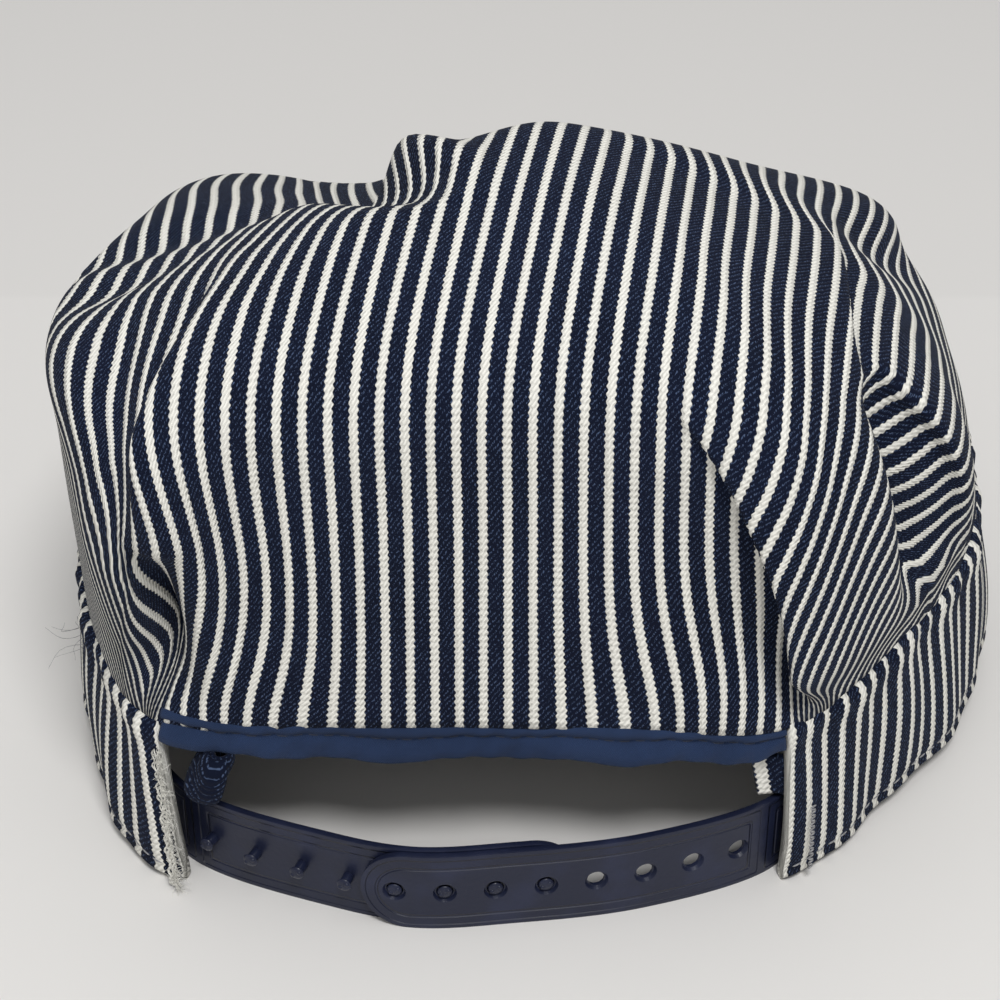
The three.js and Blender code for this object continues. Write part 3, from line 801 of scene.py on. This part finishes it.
class CAP_OT_ends(bpy.types.Operator):
    """Make what shows at the band's two ends: rolled cloth, frayed edge, loose threads and a bar tack"""

    bl_idname = "cap.ends"
    bl_label = "Band ends"

    # The turned-in layer's foot lies further right than its top, by the lean.
    layer_corner = (37.8, -104.4, 19.6)
    layer_width, layer_height, layer_lean, layer_thick = 6.4, 9.2, 1.8, 1.1
    roll_middle = (-62.6, -107.6, 27.6)
    roll_turns, roll_length, roll_thick = 1.7, 10.5, 0.9
    tack_stitches = 23
    outer_face = 1.6

    def execute(self, context):
        self.roll()
        top, out, foot = (part[0] for part in seam_at([LEFT_END]))
        along = np.array([out[1], -out[0], 0]) * -1
        outer = out * self.outer_face
        bm = bmesh.new()
        rise = (top - foot) * 0.84
        frayed(bm, foot + outer + (0, 0, 1.2), out * 0.3 + along * 0.4, rise, 420, 1.3, 0.07)
        frayed(bm, foot + outer + (0, 0, 0.5), out * 0.5 + along, rise * 0.15, 60, 2, 0.06)
        for k in range(4):
            s = np.linspace(0, 1, 60)[:, None]
            wander = 0.35 * np.sin(s * (41 + 13 * k) + k) * along + 0.25 * np.sin(s * (57 - 9 * k)) * out
            tube(bm, foot + outer * 0.9 - along * (0.3 + 0.35 * k) + (0, 0, 1) + rise * s + wander, 0.3)
        add_piece("frayed_edge", bm, thread_material("Cream thread", colour("cream")))
        side, side_out, side_foot = seam_at([LEFT_END - 1.6, LEFT_END - 1.1])
        bm = bmesh.new()
        start = side[1] * 0.92 + side_foot[1] * 0.08 + side_out[1] * 2
        frayed(bm, start, side_out[1] * 0.8, side[0] - side[1] - (0, 0, 7), 9, 6.5, 0.06)
        add_piece("loose_threads", bm, grey_thread())
        self.inner_layer()
        self.bar_tack()
        return {"FINISHED"}

    def inner_layer(self):
        """Turned-in layer of the band that shows beside its right end, above the strap."""
        corner = self.layer_corner

        def place(u, v):
            x = corner[0] + self.layer_lean * (1 - v) + self.layer_width * u
            return np.stack([x, corner[1] + 0.5 * np.sin(3 * u), corner[2] + self.layer_height * v], -1)

        def flat(u, v, points):
            return np.stack([4 * u - 0.9, self.layer_height * v], -1)

        piece = add_piece("inner_layer", mapped_grid(12, 14, place, flat), striped_cloth())
        add_wall(piece, self.layer_thick * MM, 0)

    def roll(self):
        """Rolled end of the band's inner layer, above the strap's left end."""
        middle, length = self.roll_middle, self.roll_length

        def place(u, v):
            turn = 2 * math.pi * self.roll_turns * u
            taper = 1 - 0.45 * (2 * v - 1) ** 4
            radius = (1.4 + 2.9 * u) * taper * (1 + 0.1 * np.sin(3 * turn + 4 * v))
            x, y = radius * np.cos(turn + 0.9), radius * np.sin(turn + 0.9)
            tilt = 0.35 * length * (v - 0.5)
            z = middle[2] + length * (v - 0.5) + 0.4 * np.sin(turn)
            return np.stack([x + middle[0] + tilt, y + middle[1], z], -1)

        def flat(u, v, points):
            return np.stack([2.2 + 0.9 * np.sin(8 * np.pi * u), length * v], -1)

        piece = add_piece("rolled_end", mapped_grid(70, 20, place, flat), striped_cloth())
        add_wall(piece, self.roll_thick * MM, 0)

    def bar_tack(self):
        """Close zigzag stitches through the band's right end."""
        top, out, foot = seam_at(np.full(self.tack_stitches, RIGHT_END + 0.14))
        share = np.linspace(0.1, 0.5, self.tack_stitches)[:, None]
        middle = foot + (top - foot) * share + out * 2.7
        across = np.array([out[0][1], -out[0][0], 0]) * 0.75
        bm = bmesh.new()
        for i, point in enumerate(middle):
            lean = np.array([0, 0, 0.22 if i % 2 else -0.22])
            line = np.array([point - across - lean, point + across + lean])
            sewn(bm, line, np.array([out[i], out[i]]), 1.35, 0.1, 0.2)
        add_piece("bar_tack", bm, grey_thread())


class CAP_OT_binding(bpy.types.Operator):
    """Make the bound edge of the back opening"""

    bl_idname = "cap.binding"
    bl_label = "Back binding"

    columns = 200
    rows = 36

    def execute(self, context):
        height, thick = millimetres("binding_height"), millimetres("binding_thick")
        start, end = LEFT_END - len(SECTION_ROWS) + 0.03, RIGHT_END - 0.03

        def section(u, v):
            point, out, _ = seam_at(start + (end - start) * u)
            offset, z, _ = stadium(v, height, thick)
            outside = smoothstep(offset, -0.3, thick / 2)
            down = height - z
            groove = -0.8 * np.exp(-(((down - BINDING_STITCHES) / 0.6) ** 2)) * outside
            full = 0.9 + 0.45 * np.sin(17 * u + 1) + 0.3 * np.sin(43 * u)
            crumpled = 0.22 * np.sin(120 * u + 0.9 * down) * np.sin(9 * u)
            lip = (full * smoothstep(down, 3, 5.5) + crumpled) * outside
            place = point + out * (offset - 0.9 + groove + lip + 0.3 * np.sin(19 * u))[..., None]
            rise = 3.6 * np.exp(-((u / 0.11) ** 2)) + 0.4 * np.sin(12 * u - 0.6) + 0.15 * np.sin(31 * u)
            drop = 1.02 + 0.1 * np.sin(15 * u + 3.9) + 0.05 * np.sin(37 * u) - 0.3 * smoothstep(u, 0.95, 1)
            place[..., 2] = millimetres("band_height") + 0.5 + rise - down * drop
            return place

        flat = rolled_map(start, end, height, thick)
        bm = close_tube(mapped_grid(self.columns, self.rows, section, flat))
        add_piece("binding_tape", bm, binding_cloth(), "back_binding", slot="binding_cloth")
        u = np.linspace(0.01, 0.99, 300)
        line = section(u, np.full(300, part_way_up(height - BINDING_STITCHES, height, thick)))
        bm = bmesh.new()
        sewn(bm, line, seam_at(start + (end - start) * u)[1], 2.2, 0.7, 0.24)
        blue = thread_material("Blue thread", toned(colour("binding"), 0.5))
        add_piece("binding_stitches", bm, blue, slot="binding_cloth")
        return {"FINISHED"}


class CAP_OT_peak(bpy.types.Operator):
    """Make the peak that slopes from under the band's front"""

    bl_idname = "cap.peak"
    bl_label = "Peak"

    half_turn, arch, corner, roundness, fan, bow, least = 1.75, 6, 0.75, 0.62, 0.32, 3, 0.004
    stitch_rows = (0.2, 0.4, 0.6, 0.8, 0.94)

    def surface(self, u, v):
        p = 2 * u - 1
        point, _, foot = seam_at(FRONT - p * self.half_turn)
        reach = millimetres("peak_length") * np.maximum(1 - p * p, self.least) ** self.roundness
        root = foot[..., 2] - 0.5
        thick = millimetres("peak_thick")
        arch = self.arch * np.maximum(1 - (p / self.corner) ** 2, 0)
        end = arch + thick + (root - arch - thick) * smoothstep(np.abs(p), self.corner, 1)
        forward = unit(np.stack([self.fan * p, np.ones(p.shape), np.zeros(p.shape)], -1))
        place = point + forward * (reach * v)[..., None]
        place[..., 2] = root + (end - root) * v + self.bow * np.sin(np.pi * v) * (1 - p * p)
        return place

    def execute(self, context):
        def flat(u, v, points):
            return points[..., :2]

        bm = mapped_grid(120, 40, self.surface, flat)
        peak = add_piece("peak_cloth", bm, striped_cloth(), "peak")
        add_wall(peak, context.scene.cap_sizes.peak_thick, -1)
        round_edges(peak, 0.0009, 3, 50)
        bm = bmesh.new()
        u = np.linspace(0.06, 0.94, 200)
        for share in self.stitch_rows:
            sewn(bm, self.surface(u, np.full(200, share)), np.tile((0, 0, 1), (200, 1)), 2.6, 0.9, 0.24)
        add_piece("peak_stitches", bm, grey_thread())
        return {"FINISHED"}


def strap_line(count=600):
    """Points along the strap's path at even distances, with the outward direction."""
    points = np.array([(x, y, 0) for x, y in STRAP_PATH], float)
    points = np.concatenate([[2 * points[0] - points[1]], points, [2 * points[-1] - points[-2]]])
    fine = []
    for i in range(len(points) - 3):
        p = points[i : i + 4]
        gaps = np.linalg.norm(np.diff(p, axis=0), axis=1) ** 0.5
        leave = (p[1] - p[0]) / gaps[0] - (p[2] - p[0]) / (gaps[0] + gaps[1]) + (p[2] - p[1]) / gaps[1]
        arrive = (p[2] - p[1]) / gaps[1] - (p[3] - p[1]) / (gaps[1] + gaps[2]) + (p[3] - p[2]) / gaps[2]
        leave, arrive = leave * gaps[1], arrive * gaps[1]
        w = np.linspace(0, 1, 60, endpoint=False)[:, None]
        cube = 2 * p[1] - 2 * p[2] + leave + arrive
        square = -3 * p[1] + 3 * p[2] - 2 * leave - arrive
        fine.extend(p[1] + leave * w + square * w**2 + cube * w**3)
    fine.append(points[-2])
    fine = np.array(fine)
    lengths = run_length(fine)
    even = np.linspace(0, lengths[-1], count)
    line = on_line(even, lengths, fine)
    along = unit(np.gradient(line, axis=0))
    return even, line, np.stack([along[:, 1], -along[:, 0], np.zeros(count)], 1)


class StrapPlan:
    """Where the strap's two strips, its holes and its pegs lie along its path."""

    def __init__(self):
        self.even, self.line, self.outs = strap_line()
        self.length = self.even[-1]
        self.thick = millimetres("strap_thick")
        self.height = millimetres("strap_height")
        pitch = millimetres("snap_pitch")
        middle = self.length / 2 - OVERLAP_SHIFT
        overlap = pitch * (SNAPS_CLOSED - 1) + 2 * TIP_MARGIN
        self.holes_tip = middle - overlap / 2
        self.pegs_tip = middle + overlap / 2
        self.holes = [self.holes_tip + TIP_MARGIN + i * pitch for i in range(SNAPS)]
        self.pegs = [self.pegs_tip - TIP_MARGIN - i * pitch for i in range(SNAPS)]
        self.under = self.thick + STRAP_GAP

    def depth(self, distance):
        return self.under * smoothstep(distance, TUCK_START, self.holes_tip - TUCK_MARGIN)

    def bend(self, mesh, depth):
        """Bends a flat strip, drawn along X with its outer face at Y 0, onto the strap's path."""
        flat = np.empty(len(mesh.vertices) * 3)
        mesh.vertices.foreach_get("co", flat)
        flat = flat.reshape(-1, 3) / MM
        at = np.clip(flat[:, 0], 0, self.length)
        inwards = (flat[:, 1] + depth(at))[:, None]
        place = on_line(at, self.even, self.line) - on_line(at, self.even, self.outs) * inwards
        place[:, 2] = flat[:, 2]
        mesh.vertices.foreach_set("co", (place * MM).ravel())
        mesh.update()


def flat_strip(plan, square_end, round_end, hidden):
    """A flat strip with one round end. Its map's second coordinate is the distance in from its seen outline.

    hidden is how far the square end runs on under the band beyond the moulded rim.
    """
    radius = plan.height / 2
    sign = math.copysign(1, round_end - square_end)
    straight = abs(round_end - square_end) - radius
    turn = np.linspace(0, 0.97 * math.pi / 2, 20)
    runs = np.concatenate([np.linspace(0, straight, 120, endpoint=False), straight + radius * np.sin(turn)])
    halves = np.where(runs <= straight, radius, np.sqrt(np.maximum(radius**2 - (runs - straight) ** 2, 0)))
    shares = np.linspace(0, 1, len(runs))

    def place(u, v):
        run, half = np.interp(u, shares, runs), np.interp(u, shares, halves)
        return np.stack([square_end + sign * run, np.zeros(u.shape), radius + half * (2 * v - 1)], -1)

    def flat(u, v, points):
        run = sign * (points[..., 0] - square_end)
        away = np.hypot(np.maximum(run - straight, 0), points[..., 2] - radius)
        return np.stack([run, np.minimum(radius - away, np.abs(run - hidden))], -1)

    bm = mapped_grid(len(runs) - 1, 36, place, flat)
    extruded = bmesh.ops.extrude_face_region(bm, geom=bm.faces[:])["geom"]
    moved = [item for item in extruded if isinstance(item, bmesh.types.BMVert)]
    bmesh.ops.translate(bm, verts=moved, vec=(0, plan.thick * MM, 0))
    bmesh.ops.recalc_face_normals(bm, faces=bm.faces)
    return bm


def across_matrix(distance, depth, height):
    """Places a round form, made along Z, across the flat strip with its middle at a depth."""
    place = Matrix.Translation(Vector((distance, depth, height / 2)) * MM)
    return place @ Matrix.Rotation(math.pi / 2, 4, "X")


def cone_at(bm, matrix, low, high, length):
    """Adds a closed cone with its two radii and its length in millimetres."""
    sizes = dict(radius1=low * MM, radius2=high * MM, depth=length * MM)
    bmesh.ops.create_cone(bm, cap_ends=True, segments=32, matrix=matrix, **sizes)


class CAP_OT_strap(bpy.types.Operator):
    """Make the two strips of the snap strap"""

    bl_idname = "cap.strap"
    bl_label = "Snap strap"

    def execute(self, context):
        plan = StrapPlan()
        plastic = strap_plastic()
        bm = flat_strip(plan, plan.length, plan.holes_tip, HOLES_HIDDEN)
        holes = add_piece("strap_with_holes", bm, plastic, "strap_holes", slot="strap_plastic")
        cut = bmesh.new()
        for distance in plan.holes:
            matrix = across_matrix(distance, 0, plan.height)
            cone_at(cut, matrix, HOLE_RADIUS, HOLE_RADIUS, 8)
            cone_at(cut, matrix, 1.9, 2.6, 1.4)
        self.cut_away(holes, cut)
        plan.bend(holes.data, lambda at: np.zeros(at.shape))
        bm = flat_strip(plan, 0, plan.pegs_tip, PEGS_HIDDEN)
        self.add_pegs(bm, plan)
        pegs = add_piece("strap_with_pegs", bm, plastic, "strap_pegs", slot="strap_plastic")
        plan.bend(pegs.data, plan.depth)
        for piece in (holes, pegs):
            round_edges(piece, 0.00024, 2, 40)
        return {"FINISHED"}

    def add_pegs(self, bm, plan):
        """Closed pegs end just inside the holes. Free ones stand out as short stubs."""
        ball = dict(u_segments=16, v_segments=8, radius=1)
        for i, distance in enumerate(plan.pegs):
            length = plan.under - 0.1 if i < SNAPS_CLOSED else FREE_PEG_LENGTH
            stem = across_matrix(distance, 0.1 - length / 2, plan.height)
            cone_at(bm, stem, PEG_RADIUS, 1.0, length)
            size = Matrix.Diagonal((PEG_HEAD_RADIUS * MM, PEG_HEAD_RADIUS * MM, 0.5 * MM, 1))
            head = across_matrix(distance, 0.35 - length, plan.height) @ size
            bmesh.ops.create_uvsphere(bm, matrix=head, **ball)
            for side in (-1, 1):
                aside = Matrix.Translation((side * 0.45, side * 0.3, 0.5))
                knob = aside @ Matrix.Diagonal((0.35, 0.35, 0.8, 1))
                bmesh.ops.create_uvsphere(bm, matrix=head @ knob, **ball)

    def cut_away(self, piece, bm):
        bmesh.ops.recalc_face_normals(bm, faces=bm.faces)
        cutter = add_mesh("cutter", bm)
        cut = piece.modifiers.new("Cut", "BOOLEAN")
        cut.operation = "DIFFERENCE"
        cut.solver = "EXACT"
        cut.use_self = True
        cut.object = cutter
        graph = bpy.context.evaluated_depsgraph_get()
        result = bpy.data.meshes.new_from_object(piece.evaluated_get(graph))
        piece.modifiers.clear()
        piece.data = result
        bpy.data.objects.remove(cutter)


class CAP_OT_stage(bpy.types.Operator):
    """Make the floor, the lights and the camera"""

    bl_idname = "cap.stage"
    bl_label = "Floor, lights and camera"

    def execute(self, context):
        bm = bmesh.new()
        bmesh.ops.create_grid(bm, x_segments=1, y_segments=1, size=FLOOR_HALF)
        floor = add_mesh("floor", bm)
        material, tree, shader = new_material("Pale floor", 0.7, Specular_IOR_Level=0.2)
        behind = ranged(tree, split(tree, cap_place(tree))[1], *FLOOR_LINE)
        shade = blended(tree, behind, colour("floor"), toned(colour("floor"), 0.97))
        tree.links.new(shade, shader.inputs["Base Color"])
        floor.data.materials.append(material)
        world = bpy.data.worlds.new("Studio")
        world.use_nodes = True
        background = world.node_tree.nodes["Background"].inputs
        background[0].default_value = (1, 1, 1, 1)
        background[1].default_value = WORLD_LIGHT
        context.scene.world = world
        for name, lamp in LAMPS.items():
            self.add_lamp(name, *lamp)
        camera = bpy.data.cameras.new("camera")
        camera.sensor_width = 36
        camera.lens = CAMERA_LENS
        camera.clip_start = 0.01
        seen = add_object("camera", camera)
        seen.location = CAMERA_PLACE
        seen.rotation_euler = (math.radians(90 - CAMERA_PITCH), 0, 0)
        context.scene.camera = seen
        context.scene.view_settings.view_transform = "Standard"
        return {"FINISHED"}

    def add_lamp(self, name, place, width, power):
        light = bpy.data.lights.new(name, "AREA")
        light.shape = "DISK"
        light.size = width
        light.energy = power
        lamp = add_object(name, light)
        lamp.location = place
        lamp.rotation_euler = (Vector(LAMP_AIM) - Vector(place)).to_track_quat("-Z", "Y").to_euler()


class CAP_PT_panel(bpy.types.Panel):
    """The cap's pieces"""

    bl_label = "Engineer cap"
    bl_idname = "CAP_PT_panel"
    bl_space_type = "VIEW_3D"
    bl_region_type = "UI"
    bl_category = "Cap"

    def draw(self, context):
        for settings in (context.scene.cap_sizes, context.scene.cap_colours):
            for name in settings.__annotations__:
                self.layout.prop(settings, name)
        for operator in OPERATORS:
            self.layout.operator(operator.bl_idname)


GROUPS = (CapSizes, CapColours)
OPERATORS = (
    CAP_OT_stage,
    CAP_OT_crown,
    CAP_OT_band,
    CAP_OT_ends,
    CAP_OT_binding,
    CAP_OT_peak,
    CAP_OT_strap,
)


def register():
    for cls in (*GROUPS, *OPERATORS, CAP_PT_panel):
        bpy.utils.register_class(cls)
    bpy.types.Scene.cap_sizes = PointerProperty(type=CapSizes)
    bpy.types.Scene.cap_colours = PointerProperty(type=CapColours)


def unregister():
    del bpy.types.Scene.cap_colours
    del bpy.types.Scene.cap_sizes
    for cls in reversed((*GROUPS, *OPERATORS, CAP_PT_panel)):
        bpy.utils.unregister_class(cls)


def main():
    register()
    bpy.ops.cap.stage()
    bpy.ops.cap.band()
    bpy.ops.cap.crown()
    bpy.ops.cap.ends()
    bpy.ops.cap.binding()
    bpy.ops.cap.peak()
    bpy.ops.cap.strap()


if __name__ == "__main__":
    main()
